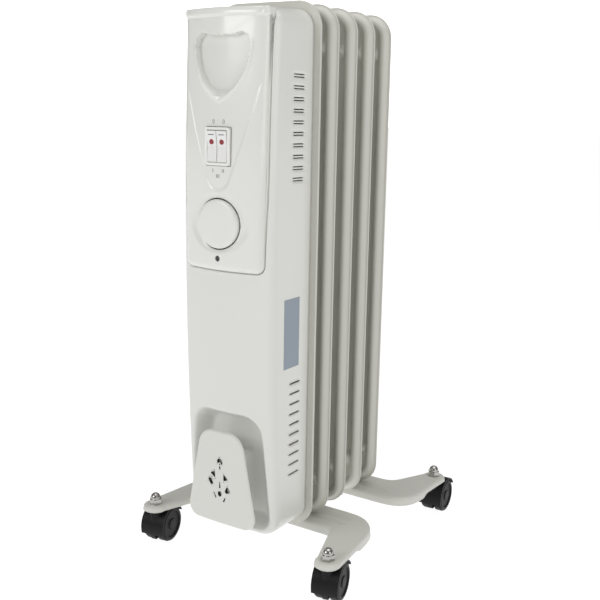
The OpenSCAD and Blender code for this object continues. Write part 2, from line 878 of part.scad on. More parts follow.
fin_1_front();
fin_1_rear();
fin_front(1, (fin_y[1] - fin_y[0]) / 2, header_hole);  // fin_2_front
fin_rear(1, fin_pitch / 2, header_hole);  // fin_2_rear
fin_front(2, fin_pitch / 2, header_hole);  // fin_3_front
fin_rear(2, fin_pitch / 2, header_hole);  // fin_3_rear
fin_front(3, fin_pitch / 2, header_hole);  // fin_4_front
fin_rear(3, fin_pitch / 2, header_hole);  // fin_4_rear
fin_front(4, fin_pitch / 2, header_hole);  // fin_5_front
fin_rear(4, channel_depth, 8);  // fin_5_rear
header_rings();
header_end_caps();
oil_plug();
element_flange();
heating_element();
element_terminals();
heat_shield();
shield_screws();
front_housing();
rating_label();
control_panel();
panel_screw();
switch_bezel();
switch_body();
rocker_pin();
rocker(-1);  // rocker_low
rocker(1);  // rocker_high
lens(-1);  // lens_low
lens(1);  // lens_high
thermostat_knob();
thermostat_shaft();
thermostat_body();
thermal_cutout();
terminal_block();
cord_gland();
cord_hook();
hook_screws();
front_foot();
rear_foot();
u_bolts();
wing_nuts();
caster_stems();
cap_nuts();
hood(0);  // hood_1
axle(0);  // axle_1
wheel(0, -1);  // wheel_1_left
wheel(0, 1);  // wheel_1_right
hood(1);  // hood_2
axle(1);  // axle_2
wheel(1, -1);  // wheel_2_left
wheel(1, 1);  // wheel_2_right
hood(2);  // hood_3
axle(2);  // axle_3
wheel(2, -1);  // wheel_3_left
wheel(2, 1);  // wheel_3_right
hood(3);  // hood_4
axle(3);  // axle_4
wheel(3, -1);  // wheel_4_left
wheel(3, 1);  // wheel_4_right
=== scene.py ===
# %% [markdown]
# # An oil filled radiator heater
#
# The heater is a row of five pressed steel fins with a plastic control housing in front. It
# stands on two stamped steel feet with swivel casters. The CAD model gives every size. This
# lesson gives it its visible skin: soft moulded edges, pressed sheet and painted finishes.
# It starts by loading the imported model, whose nodes are the fixed frame for all that follows.

# %% Load the frame
import json
import math
import bpy
import bmesh
import numpy as np
from mathutils import Matrix, Vector


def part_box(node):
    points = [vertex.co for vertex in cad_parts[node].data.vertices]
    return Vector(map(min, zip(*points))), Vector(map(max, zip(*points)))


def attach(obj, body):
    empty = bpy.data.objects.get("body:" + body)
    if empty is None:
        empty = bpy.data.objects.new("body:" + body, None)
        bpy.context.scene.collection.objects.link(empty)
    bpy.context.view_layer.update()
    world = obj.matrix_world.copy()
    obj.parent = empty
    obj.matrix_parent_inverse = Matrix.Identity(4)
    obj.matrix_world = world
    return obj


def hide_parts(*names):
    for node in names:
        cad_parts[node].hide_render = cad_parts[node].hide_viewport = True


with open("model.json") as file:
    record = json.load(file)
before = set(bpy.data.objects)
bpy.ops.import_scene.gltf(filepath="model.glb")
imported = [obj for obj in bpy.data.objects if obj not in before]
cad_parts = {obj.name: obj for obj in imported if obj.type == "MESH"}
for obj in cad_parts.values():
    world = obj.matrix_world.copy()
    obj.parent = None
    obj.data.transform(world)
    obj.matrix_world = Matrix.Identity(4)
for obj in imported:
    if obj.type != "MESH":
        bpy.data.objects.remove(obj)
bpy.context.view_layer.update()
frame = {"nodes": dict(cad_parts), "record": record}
nodes = frame["nodes"]
FIN_PLANES = (4.2, 38.4, 76.8, 115.2, 153.6)
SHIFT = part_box("fin_1_front")[1].y * 1000 - FIN_PLANES[0]
print("loaded", len(nodes), "nodes, drawing moved along Y by", round(SHIFT, 2), "mm")

# %% [markdown]
# ## Camera
#
# The heater is looked at from the front right, a little above its middle. The camera's place
# and turn are three angles and a point. Its three axes are worked out from the angles, because
# a matrix says exactly where right, up and back point, and there is nothing to aim by hand.

# %% Camera
CAMERA_POINT = (573.0, -795.1, 513.4)
YAW, PITCH, ROLL = 0.56452, 0.20722, 0.02061
LENS, SHIFT_RIGHT, SHIFT_UP = 53.83, -0.027, 0.0016


def camera_axes(yaw, pitch, roll):
    """Forward from yaw and pitch, right level with the floor, then both turned by the roll."""
    forward = np.array([-math.sin(yaw) * math.cos(pitch), math.cos(yaw) * math.cos(pitch), -math.sin(pitch)])
    right = np.cross(forward, (0, 0, 1))
    right /= np.linalg.norm(right)
    up = np.cross(right, forward)
    return (right * math.cos(roll) + up * math.sin(roll),
            up * math.cos(roll) - right * math.sin(roll), -forward)


camera = bpy.data.objects.new("camera", bpy.data.cameras.new("camera"))
bpy.context.scene.collection.objects.link(camera)
turn = Matrix([list(column) for column in zip(*camera_axes(YAW, PITCH, ROLL))]).to_4x4()
place = Matrix.Translation([c / 1000 for c in (CAMERA_POINT[0], CAMERA_POINT[1] + SHIFT, CAMERA_POINT[2])])
camera.matrix_world = place @ turn
camera.data.sensor_width = 36
camera.data.lens = LENS
camera.data.shift_x, camera.data.shift_y = SHIFT_RIGHT, SHIFT_UP
camera.data.clip_start, camera.data.clip_end = 0.01, 100
bpy.context.scene.camera = camera
print("camera lens", round(camera.data.lens, 2), "mm")

# %% [markdown]
# ## Shader maths as Python
#
# Materials are built from nodes. Wrapping a socket in a small class lets a formula such as
# `0.3 + 0.1 * noise` add its own Math nodes, so a finish reads like a sum on paper.

# %% Socket class and node maker


class Wire:
    """An output socket that can be added, taken away and multiplied with Python signs."""

    def __init__(self, look, socket):
        self.look, self.socket = look, socket

    def _math(self, operation, first, second):
        return self.look.node("ShaderNodeMath", {"operation": operation}, {0: first, 1: second})

    def __add__(self, other): return self._math("ADD", self, other)
    def __radd__(self, other): return self._math("ADD", other, self)
    def __sub__(self, other): return self._math("SUBTRACT", self, other)
    def __rsub__(self, other): return self._math("SUBTRACT", other, self)
    def __mul__(self, other): return self._math("MULTIPLY", self, other)
    def __rmul__(self, other): return self._math("MULTIPLY", other, self)


OBJECT_OUT = 3
COLOUR_A, COLOUR_B, COLOUR_OUT = 6, 7, 2


class Look:
    """One material. node() adds a node, sets its settings, then its sockets, and gives an output."""

    def __init__(self, name):
        self.material = bpy.data.materials.new(name)
        self.material.use_nodes = True
        self.tree = self.material.node_tree
        self.tree.nodes.clear()

    def node(self, kind, settings=None, sockets=None, out=0):
        made = self.tree.nodes.new(kind)
        for key, value in (settings or {}).items():
            if key == "stops":
                for i, (at, colour) in enumerate(value):
                    ramp = made.color_ramp.elements
                    stop = ramp[i] if i < len(ramp) else ramp.new(at)
                    stop.position, stop.color = at, colour
            else:
                setattr(made, key, value)
        for key, value in (sockets or {}).items():
            if isinstance(value, Wire):
                self.tree.links.new(value.socket, made.inputs[key])
            else:
                made.inputs[key].default_value = value
        return Wire(self, made.outputs[out])

    def finish(self, **sockets):
        named = {key.replace("_", " "): value for key, value in sockets.items()}
        shader = self.node("ShaderNodeBsdfPrincipled", None, named)
        output = self.tree.nodes.new("ShaderNodeOutputMaterial")
        self.tree.links.new(shader.socket, output.inputs["Surface"])
        return self.material

    def noise(self, scale, detail=2.0, roughness=0.5, stretch=(1, 1, 1)):
        """Noise in object space; scale counts waves per metre."""
        place = self.node("ShaderNodeTexCoord", None, None, OBJECT_OUT)
        spot = self.node("ShaderNodeMapping", None, {"Vector": place, "Scale": stretch})
        return self.node("ShaderNodeTexNoise", None,
                         {"Vector": spot, "Scale": scale, "Detail": detail, "Roughness": roughness})

    def mix(self, share, first, second):
        """Colour between two others."""
        return self.node("ShaderNodeMix", {"data_type": "RGBA"},
                         {0: share, COLOUR_A: first, COLOUR_B: second}, COLOUR_OUT)

    def bump(self, height, strength, distance=0.001):
        return self.node("ShaderNodeBump", None,
                         {"Height": height, "Strength": strength, "Distance": distance})


def shade(colour, factor):
    """The colour made darker or lighter, with alpha 1."""
    return tuple(min(1.0, c * factor) for c in colour[:3]) + (1.0,)


# %% [markdown]
# ## Finishes
#
# Moulded plastic is nearly even in colour, with a faint cloudiness, a soft gloss that varies,
# and a very fine orange peel. Painted steel is rougher and its orange peel is stronger, with
# a little dust tone. Plated parts are metallic with fine scratches. Every finish takes these
# from the same few noises at different scales, so they belong together.

# %% Painted, moulded and plated finishes


def coated(name, colour, gloss, cloud=0.03, peel=0.06, peel_scale=900, coat=0.0, speck=0.0, shine=0.5):
    """Paint or plastic: colour clouds + fine specks, roughness gloss ± noise, orange peel bump."""
    look = Look(name)
    clouds = look.noise(9, 3)
    tone = look.mix(clouds, shade(colour, 1 - cloud), shade(colour, 1 + cloud))
    if speck:
        specks = look.noise(2600, 1)
        # sockets 0 to 4: value, from low, from high, to low, to high
        mask = look.node("ShaderNodeMapRange", None, {0: specks, 1: 0.62, 2: 0.75, 3: 0.0, 4: speck})
        tone = look.mix(mask, tone, shade(colour, 0.75))
    rough = gloss + 0.10 * (look.noise(35, 4) - 0.5)
    surface = look.bump(look.noise(peel_scale, 2), peel, 0.0004)
    return look.finish(Base_Color=tone, Roughness=rough, Normal=surface, Coat_Weight=coat,
                       Coat_Roughness=0.12, Specular_IOR_Level=shine)


def plated(name, colour, gloss, scratch=0.15, stretch=(1, 1, 1)):
    """Metal: tone and roughness follow a stretched noise, like brushing or fine scratches."""
    look = Look(name)
    lines = look.noise(700, 3, 0.6, stretch)
    stains = look.noise(40, 3)
    tone = look.mix(stains, shade(colour, 0.9), shade(colour, 1.05))
    rough = gloss + scratch * (lines - 0.5) + 0.08 * (stains - 0.5)
    return look.finish(Base_Color=tone, Roughness=rough, Metallic=1.0, Normal=look.bump(lines, 0.08, 0.0003))


FINISHES = {
    "housing_plastic": coated("housing_plastic", (0.73, 0.735, 0.70), 0.30, 0.012, 0.05, 700, 0.25),
    "panel_plastic": coated("panel_plastic", (0.755, 0.76, 0.725), 0.17, 0.010, 0.04, 600, 0.5),
    "knob_plastic": coated("knob_plastic", (0.76, 0.765, 0.73), 0.30, 0.012, 0.05, 700, 0.2),
    "hook_plastic": coated("hook_plastic", (0.70, 0.705, 0.665), 0.38, 0.015, 0.06, 700, 0.1),
    "fin_paint": coated("fin_paint", (0.62, 0.62, 0.565), 0.38, 0.02, 0.10, 500, 0.1, 0.15),
    "foot_paint": coated("foot_paint", (0.66, 0.66, 0.615), 0.40, 0.02, 0.10, 500, 0.1, 0.15),
    "bezel_plastic": coated("bezel_plastic", (0.83, 0.83, 0.81), 0.22, 0.01, 0.03, 900, 0.3),
    "rocker_plastic": coated("rocker_plastic", (0.80, 0.80, 0.79), 0.25, 0.01, 0.03, 900, 0.3),
    "lens_red": coated("lens_red", (0.26, 0.006, 0.012), 0.12, 0.15, 0.05, 900, 0.6),
    "switch_black": coated("switch_black", (0.02, 0.02, 0.02), 0.5, 0.2, 0.2, 1500),
    "gland_rubber": coated("gland_rubber", (0.02, 0.02, 0.021), 0.6, 0.2, 0.3, 1500),
    "terminal_white": coated("terminal_white", (0.8, 0.8, 0.78), 0.45, 0.03, 0.1, 1200),
    "phenolic": coated("phenolic", (0.36, 0.2, 0.09), 0.5, 0.12, 0.2, 1500),
    "hood_black": coated("hood_black", (0.008, 0.008, 0.009), 0.42, 0.15, 0.25, 1600, 0.0, 0.0, 0.18),
    "wheel_black": coated("wheel_black", (0.010, 0.010, 0.011), 0.45, 0.15, 0.3, 1400, 0.0, 0.0, 0.18),
    # dark ink for the printed marks, also used as painted shade for the gap round the switch bezel
    "print_and_gap_shade": coated("print_and_gap_shade", (0.06, 0.06, 0.065), 0.5, 0.1, 0.05, 900),
    "screw_dark": plated("screw_dark", (0.09, 0.09, 0.09), 0.45, 0.1),
    "label_film": coated("label_film", (0.24, 0.29, 0.35), 0.3, 0.03, 0.03, 900, 0.2),
    "hole_shadow": coated("hole_shadow", (0.05, 0.05, 0.045), 0.7, 0.1, 0.1, 900),
    "nut_chrome": plated("nut_chrome", (0.46, 0.45, 0.43), 0.16, 0.05),
    "shield_steel": plated("shield_steel", (0.55, 0.56, 0.57), 0.35, 0.2, (1, 1, 30)),
    "element_steel": plated("element_steel", (0.35, 0.31, 0.27), 0.45, 0.2),
    "plated_steel": plated("plated_steel", (0.6, 0.6, 0.6), 0.3, 0.2),
}
for part in frame["record"]["subparts"]:
    item = nodes[part["node"]]
    item.data.materials.clear()
    item.data.materials.append(FINISHES[part["material_slot"]])
nodes["panel_screw"].data.materials[0] = FINISHES["screw_dark"]
print("made", len(FINISHES), "finishes")

# %% [markdown]
# ## Surfaces from loops
#
# Most pieces here are lids: an outline, a rounded edge and a gently shaped face. An outline is
# a closed loop of points round a few corner circles. Pulling the loop inwards gives the rings
# of the rounded edge, and straight lines from the last ring to a middle line cover the face.
# One number array holds all rings, so the whole face is shaped by one formula.

# %% Loops round circles


def loop_round(circles, step=3.0, levels=None):
    """Closed loop round a hull of circles (x, z, r), anticlockwise, with even steps.

    Each pair of circles gives a tangent line, and each circle the arc between its two lines.
    levels lists z values that the upright lines must have, for features that need sharp edges."""
    parts = []
    count = len(circles)
    tangents = []
    for i in range(count):
        a, b = np.array(circles[i], float), np.array(circles[(i + 1) % count], float)
        reach = math.hypot(*(b - a)[:2])
        tangents.append(math.atan2(b[1] - a[1], b[0] - a[0]) - math.acos((a[2] - b[2]) / reach))
    for i in range(count):
        a, b = np.array(circles[i], float), np.array(circles[(i + 1) % count], float)
        before, here = tangents[i - 1], tangents[i]
        sweep = (here - before) % (2 * math.pi)
        number = max(3, int(math.ceil(a[2] * sweep / min(step, a[2] * 0.3 + 0.05))))
        angle = before + sweep * np.arange(number) / number
        parts.append(np.c_[a[0] + a[2] * np.cos(angle), a[1] + a[2] * np.sin(angle)])
        normal = np.array([math.cos(here), math.sin(here)])
        first, last = a[:2] + a[2] * normal, b[:2] + b[2] * normal
        rise = last[1] - first[1]
        if levels is not None and abs(rise) > 100:
            share = np.sort((np.asarray(levels) - first[1]) / rise)
            share = np.r_[0.0, share[(share > 0.001) & (share < 0.999)]]
        else:
            number = max(1, int(math.ceil(np.linalg.norm(last - first) / step)))
            share = np.arange(number) / number
        parts.append(first + share[:, None] * (last - first))
    return np.concatenate(parts)


def outward(loop):
    """Unit normals of a closed anticlockwise loop: the chord between a point's neighbours, turned right."""
    chord = np.roll(loop, -1, 0) - np.roll(loop, 1, 0)
    normal = np.c_[chord[:, 1], -chord[:, 0]]
    return normal / np.linalg.norm(normal, axis=1)[:, None]


def hull_gap(x, z, circles):
    """Signed distance to a hull of circles, negative inside.

    It is the largest n.p - support(n) over all directions n."""
    angle = np.linspace(0, 2 * math.pi, 180, endpoint=False)
    n = np.stack([np.cos(angle), np.sin(angle)])
    support = np.max([c[0] * n[0] + c[1] * n[1] + c[2] for c in circles], axis=0)
    flat = np.stack([np.ravel(x), np.ravel(z)], 1) @ n - support
    return flat.max(1).reshape(np.shape(x))


def ease(t):
    """Smooth step from 0 to 1."""
    t = np.clip(t, 0, 1)
    return t * t * (3 - 2 * t)


def plate_circles(half, low, high, low_r, high_r=None):
    """Corner circles of an upright rounded rectangle, anticlockwise from the lower right."""
    high_r = low_r if high_r is None else high_r
    return [(half - low_r, low + low_r, low_r), (half - high_r, high - high_r, high_r),
            (high_r - half, high - high_r, high_r), (low_r - half, low + low_r, low_r)]


def face_rings(loop, core, insets, shares):
    """Rings of a lid: the loop pulled in by each inset, then ruled towards the core by each share."""
    normal = outward(loop)
    edge = loop[None] - np.asarray(insets, float)[:, None, None] * normal[None]
    inner = edge[-1][None] + np.asarray(shares, float)[:, None, None] * (core - edge[-1])[None]
    return np.concatenate([edge, inner])


def spine(loop, low, high):
    """Middle line of an upright shape: straight in from each point, held between two heights."""
    return np.c_[np.zeros(len(loop)), np.clip(loop[:, 1], low, high)]


# %% [markdown]
# ## From arrays to a piece
#
# A piece is a grid of points whose rows are rings. Neighbouring rings are joined by four-sided
# faces with one array sum. Points that fall together are merged, and the object stays at the
# origin with its place in its mesh.

# %% Piece maker


def build(name, grids, body, slot, stands_for=(), bevel=0.0, thick=0.0, sharp=40, fix=True, finish=None):
    """Joins grids of shape (rings, points, 3) in millimetres into one object.

    A grid is an array, or a pair of an array and a mask of the faces to keep."""
    points, faces, start = [], [], 0
    for grid in grids:
        grid, keep = grid if isinstance(grid, tuple) else (grid, None)
        rings, count = grid.shape[:2]
        index = start + np.arange(rings * count).reshape(rings, count)
        after = np.roll(index, -1, 1)
        quads = np.stack([index[:-1], after[:-1], after[1:], index[1:]], -1)
        quads = quads.reshape(-1, 4) if keep is None else quads[keep]
        points.append(grid.reshape(-1, 3))
        faces.append(quads)
        start += rings * count
    points = (np.concatenate(points) + (0, SHIFT, 0)) / 1000
    mesh = bpy.data.meshes.new(name)
    mesh.from_pydata(points.tolist(), [], np.concatenate(faces).tolist())
    work = bmesh.new()
    work.from_mesh(mesh)
    bmesh.ops.remove_doubles(work, verts=work.verts, dist=2e-6)
    bmesh.ops.dissolve_degenerate(work, edges=work.edges, dist=1e-7)
    if fix:
        bmesh.ops.recalc_face_normals(work, faces=work.faces)
    work.to_mesh(mesh)
    work.free()
    mesh.shade_smooth()
    mesh.set_sharp_from_angle(angle=math.radians(sharp))
    item = bpy.data.objects.new(name, mesh)
    bpy.context.scene.collection.objects.link(item)
    mesh.materials.append(FINISHES[finish or slot])
    if thick:
        wall = item.modifiers.new("wall", "SOLIDIFY")
        wall.thickness, wall.offset = thick / 1000, -1
    if bevel:
        soft = item.modifiers.new("soft", "BEVEL")
        soft.width, soft.segments, soft.limit_method = bevel / 1000, 2, "ANGLE"
    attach(item, body)
    if stands_for:
        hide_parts(*stands_for)
    print(name, len(mesh.polygons), "faces")


def upright_points(flat, y):
    """Flat (x, z) points with their own y, as (x, y, z)."""
    return np.stack([flat[..., 0], np.broadcast_to(y, flat.shape[:-1]), flat[..., 1]], -1)


# %% [markdown]
# ## Fins
#
# A fin is two pressed steel halves welded along a narrow flange. Inside the flange runs a
# round oil channel, and two flutes and two header cups join it. It could be swept pipe by
# pipe, but a press makes one smooth sheet, so each half is one height formula over the fin's
# rings: the larger of the edge channel, the flutes and the cups, blended softly.

# %% Pressed fins
FIN_HALF, FIN_LOW, FIN_HIGH, FIN_CORNER = 67.0, 51.0, 625.0, 28.0
HEADERS = (97.0, 579.0)
SHEET, PLAIN_FRONT, REAR_CUP = 1.2, 2.0, 7.5
CHANNEL_RISE, CHANNEL_INSET, CHANNEL_WIDTH = 6.3, 8.4, 7.0
FLUTE_RISE, FLUTE_PLACE, FLUTE_WIDTH = 5.4, 20.0, 7.5
CUP_RADIUS, CUP_EDGE = 27.5, 4.5
SEAM_INSET, EDGE_ROUND = 0.45, 0.35


def dome(t, power=2.4):
    """1 at 0, 0 at 1 and beyond, with a round top and a soft foot."""
    t = np.clip(np.abs(t), 0, 1)
    return (1 - t ** power) ** 1.5


def press(x, z, gap, cup):
    """Height of a pressed half over the seam plane."""
    inside = ease((gap - 10) / 8)
    edge = CHANNEL_RISE * dome((gap - CHANNEL_INSET) / CHANNEL_WIDTH)
    flute = FLUTE_RISE * dome((np.abs(x) - FLUTE_PLACE) / FLUTE_WIDTH) * inside
    cross = np.max([FLUTE_RISE * dome((z - h) / FLUTE_WIDTH) for h in HEADERS], axis=0) * inside
    reach = np.min([np.hypot(x, z - h) for h in HEADERS], axis=0)
    bowl = (cup - SHEET) * ease((CUP_RADIUS - reach) / CUP_EDGE)
    top = np.maximum.reduce([edge, flute, cross])
    return SHEET + np.maximum(top, bowl)


FIN_OUTLINE = plate_circles(FIN_HALF, FIN_LOW, FIN_HIGH, FIN_CORNER)
FIN_LOOP = loop_round(FIN_OUTLINE, 3.2)
FIN_CORE = spine(FIN_LOOP, FIN_LOW + FIN_HALF, FIN_HIGH - FIN_HALF)
FIN_INSETS = np.r_[0.0, 0.25, np.arange(0.9, 19, 0.9)]
FIN_RINGS = face_rings(FIN_LOOP, FIN_CORE, FIN_INSETS, np.linspace(0, 1, 26)[1:])
FIN_GAP = np.maximum(-hull_gap(FIN_RINGS[..., 0], FIN_RINGS[..., 1], FIN_OUTLINE), 0)


def fin(number, plane, front_cup, rear_cup):
    """Front half, seam and rear half as one row of rings, from the front's middle line to the rear's."""
    x, z = FIN_RINGS[..., 0], FIN_RINGS[..., 1]
    front = press(x, z, FIN_GAP, front_cup) if front_cup else np.full(x.shape, PLAIN_FRONT)
    rear = press(x, z, FIN_GAP, rear_cup)
    front[0], rear[0] = front[0] - EDGE_ROUND, rear[0] - EDGE_ROUND
    seam = upright_points(FIN_LOOP - SEAM_INSET * outward(FIN_LOOP), plane)[None]
    rings = np.concatenate([upright_points(FIN_RINGS, plane - front)[::-1], seam,
                            upright_points(FIN_RINGS, plane + rear)])
    halves = ("fin_%d_front" % number, "fin_%d_rear" % number)
    build("fin_%d" % number, [rings], "radiator", "fin_paint", halves, sharp=60)


for number, plane in enumerate(FIN_PLANES, 1):
    ahead = (plane - FIN_PLANES[number - 2]) / 2 if number > 1 else 0
    behind = (FIN_PLANES[number] - plane) / 2 if number < len(FIN_PLANES) else REAR_CUP
    fin(number, plane, ahead, behind)

# %% [markdown]
# ## Control housing
#
# The housing is one moulding, open at the back, with a bowed front, soft upright corners, a
# recess behind the cord hook and vent slots in both sides. Its walls and its face are the same
# loop carried from the back edge forward and then inwards. Slots are faces left out of the
# grid, and a wall thickness makes them real openings.

# %% Housing surface
HOUSING_HALF, HOUSING_LOW, HOUSING_HIGH, HOUSING_CORNER = 59.5, 58.6, 617.4, 20.4
HOUSING_FRONT, HOUSING_PLAN = 75.5, 173
BOW_RADIUS, BOW_MIDDLE = 4300, 370
UNDERCUT_START, UNDERCUT_SLOPE = 61.3, 0.481
RECESS_FLOOR, RECESS_BANK = -46.5, 15
ROOF_FALL, ROOF_DEPTH, ROOF_ZONE = 6.4, 106, 560
WALL = 2.2
SEAT = 2.2
PANEL_EDGE = [(40.5, 360, 9), (49.5, 657, 3), (-49.5, 657, 3), (-40.5, 360, 9)]
RECESS = [(40, 80, 14), (22, 173, 25), (-22, 173, 25), (-40, 80, 14)]
SLOT_TOPS, SLOT_PITCH, SLOT_COUNT = (549.0, 228.5), 11.47, 10
SLOT_START, SLOT_END = -33.2, -14.0
PAIR_INNER, PAIR_OUTER, SINGLE_HALF = 0.8, 1.9, 1.0


def bow(z):
    """Backward fall of the front's upright curve."""
    return BOW_RADIUS - np.sqrt(BOW_RADIUS ** 2 - (z - BOW_MIDDLE) ** 2)


def front_face(x, z, front, radius):
    """Front surface before edges are rounded: a plan arc carried up the bow."""
    return -front + bow(z) + radius - np.sqrt(radius ** 2 - x ** 2)


def soft_max(a, b, k=4.0):
    """The larger of two surfaces with a soft blend k wide."""
    share = np.clip(0.5 + (a - b) / (2 * k), 0, 1)
    return b + (a - b) * share + k * share * (1 - share)


def top_edge(y):
    """Height of the sloping roof above a depth."""
    return HOUSING_HIGH - ROOF_FALL * (SEAT + 20 - y) / ROOF_DEPTH


def housing_face(x, z):
    """Bowed front, cut back at the foot, with the cord recess and a fine joint line round the panel."""
    y = front_face(x, z, HOUSING_FRONT, HOUSING_PLAN)
    y = soft_max(y, -UNDERCUT_START - UNDERCUT_SLOPE * (z - HOUSING_LOW - 5.6))
    depth = ease(-hull_gap(x, z, RECESS) / RECESS_BANK)
    y = y + (np.maximum(RECESS_FLOOR, y) - y) * depth ** 0.8
    joint = hull_gap(x, z, PANEL_EDGE)
    return y + 3.4 * np.exp(-(joint / 0.8) ** 2) + 1.5 * ease(-joint / 2 - 0.5)


slot_levels = []
for lower, top in enumerate(SLOT_TOPS):
    for i in range(SLOT_COUNT):
        middle = top - i * SLOT_PITCH
        pair = (-PAIR_OUTER, -PAIR_INNER, PAIR_INNER, PAIR_OUTER)
        edges = (-SINGLE_HALF, SINGLE_HALF) if lower else pair
        slot_levels += [middle + e for e in edges]
slot_levels = np.array(slot_levels)
even = np.arange(80, 597, 3.0)
even = even[np.min(np.abs(even[:, None] - slot_levels[None]), axis=1) > 0.9]
fine = np.arange(343, 358, 0.7)
even = even[(even < 342) | (even > 358.5)]
HOUSING_CIRCLES = plate_circles(HOUSING_HALF, HOUSING_LOW, HOUSING_HIGH, HOUSING_CORNER)
housing_loop = loop_round(HOUSING_CIRCLES, 2.2, np.unique(np.r_[even, fine, slot_levels]))
housing_core = spine(housing_loop, HOUSING_LOW + HOUSING_HALF, HOUSING_HIGH - HOUSING_HALF)

wall_depths = np.r_[SEAT, -2.0, -8.0, SLOT_END, np.linspace(SLOT_END, SLOT_START, 7)[1:], -38.0, -44.0]
EDGE_WIDTH, EDGE_DEPTH = 7.2, 8.6
psi = np.linspace(math.pi / 2, 0, 10)
edge_insets = EDGE_WIDTH * (1 - np.sin(psi))
edge_falls = EDGE_DEPTH * (1 - np.cos(psi))
more = np.r_[7.6, 8.0, 8.3, 8.6, 8.9, 9.2, 9.5, 9.9, 10.4, 11.2]
insets = np.r_[edge_insets, more]
falls = np.r_[edge_falls, np.zeros(len(more))]
shares = np.linspace(0, 1, 30)[1:]
face = face_rings(housing_loop, housing_core, insets, shares)
falls = np.r_[falls, np.zeros(len(shares))][:, None]
face_y = housing_face(face[..., 0], face[..., 1]) + falls
wall_flat = np.tile(housing_loop[None], (len(wall_depths), 1, 1))
wall_y = np.tile(wall_depths[:, None], (1, len(housing_loop)))
flat = np.concatenate([wall_flat, face])
depth = np.concatenate([wall_y, face_y])
rings = upright_points(flat, depth)
ceiling = top_edge(rings[..., 1])
drop = np.maximum(0, (rings[..., 2] - ROOF_ZONE) / (HOUSING_HIGH - ROOF_ZONE)) * (HOUSING_HIGH - ceiling)
rings[..., 2] -= np.where(rings[..., 2] > ROOF_ZONE, drop, 0)
centre = 0.25 * (rings[:-1] + rings[1:] + np.roll(rings, -1, 1)[:-1] + np.roll(rings, -1, 1)[1:])
in_depth = (centre[..., 1] < SLOT_END) & (centre[..., 1] > SLOT_START) & (np.abs(centre[..., 0]) > 59)
in_slot = np.zeros(centre.shape[:2], bool)
for lower, top in enumerate(SLOT_TOPS):
    for i in range(SLOT_COUNT):
        off = np.abs(centre[..., 2] - (top - i * SLOT_PITCH))
        in_slot |= off < SINGLE_HALF if lower else (off > PAIR_INNER) & (off < PAIR_OUTER)
keep = ~(in_slot & in_depth)
build("housing_shell", [(rings, keep)], "radiator", "housing_plastic", ("front_housing",),
      thick=WALL, sharp=50)

# %% [markdown]
# ## Control panel
#
# The panel is a glossy lid on the housing's upper half. Its face holds a finger scoop under a
# rolled lip, a shallow shield round the switches and a dish for the dial. All of it is one
# depth formula, so each feature blends into its neighbour as in a mould.

# %% Panel surface
PANEL_LOW, PANEL_HIGH = 351.0, 612.5
PANEL_CIRCLES = [(40.5, 360, 9), (49.1, 609.5, 3), (-49.1, 609.5, 3), (-40.5, 360, 9)]
SHIELD = [(0, 449, 14), (33, 545, 14), (33, 640, 14), (-33, 640, 14), (-33, 545, 14)]
PANEL_FRONT, PANEL_PLAN, PANEL_TOP_ZONE = 82.0, 153, 600
DIAL_HEIGHT, DIAL_SINK = 400.0, (26.4, -73.0)
SCREW_HEIGHT, SCREW_SINK = 364.5, (3.2, -78.0)
SCOOP_HEIGHT = 577


def scoop_gap(x, z):
    """Signed distance, roughly, to the scoop's outline: two lobes above, two large arcs to a tip below."""
    up = z - SCOOP_HEIGHT
    arcs = np.maximum(np.hypot(np.abs(x) + 24.3, up) - 58.3, up)
    lobes = np.hypot(np.abs(x) - 22.5, up) - 11.5
    bridge = np.maximum(np.abs(x) - 22.5, np.maximum(570 - z, z - 586.5))
    near = np.minimum(np.minimum(arcs, lobes), bridge)
    share = np.clip((3 - np.abs(arcs - lobes)) / 3, 0, 1)
    return near - 0.5 * share ** 2


def panel_surface(x, z):
    """Depth of the panel's face with its shield and dish, before scoop, wells and edges."""
    y = front_face(x, z, PANEL_FRONT, PANEL_PLAN)
    shield = hull_gap(x, z, SHIELD)
    y = y + 0.7 * ease(0.5 - shield / 1.6) + 0.5 * np.exp(-(shield / 0.9) ** 2)
    dish = np.hypot(x / 39.5, (z - DIAL_HEIGHT - 1) / 32.0)
    return y + 1.7 * ease((1.0 - dish) / 0.24)


def panel_face(x, z):
    """The face sunk under the dial and the screw, with the finger scoop and the lip above it."""
    y = panel_surface(x, z)
    for height, (radius, floor) in ((DIAL_HEIGHT, DIAL_SINK), (SCREW_HEIGHT, SCREW_SINK)):
        y = np.where(np.hypot(x, z - height) < radius, floor, y)
    gap = scoop_gap(x, z)
    bowl = -115 + np.sqrt(np.maximum(70 ** 2 - (z - 585) ** 2, 0)) - 3 * np.cos(x / 11)
    width = np.where(z > 575, 3.5, 5.0)
    y = y + np.maximum(bowl - y, 0) * ease(-gap / width) ** 0.7
    y = y - 0.8 * np.exp(-((gap - 1.2) / 1.4) ** 2) * ease((585 - z) / 10)
    return y - 2.4 * ease((z - 603.5) / 2.2)


def panel_levels():
    """Heights of the panel's rulings: finer where the lip, the scoop and the joint are."""
    return np.unique(np.r_[np.arange(358, 520, 1.6), np.arange(520, 600, 1.2), np.arange(600, 609.5, 0.6)])


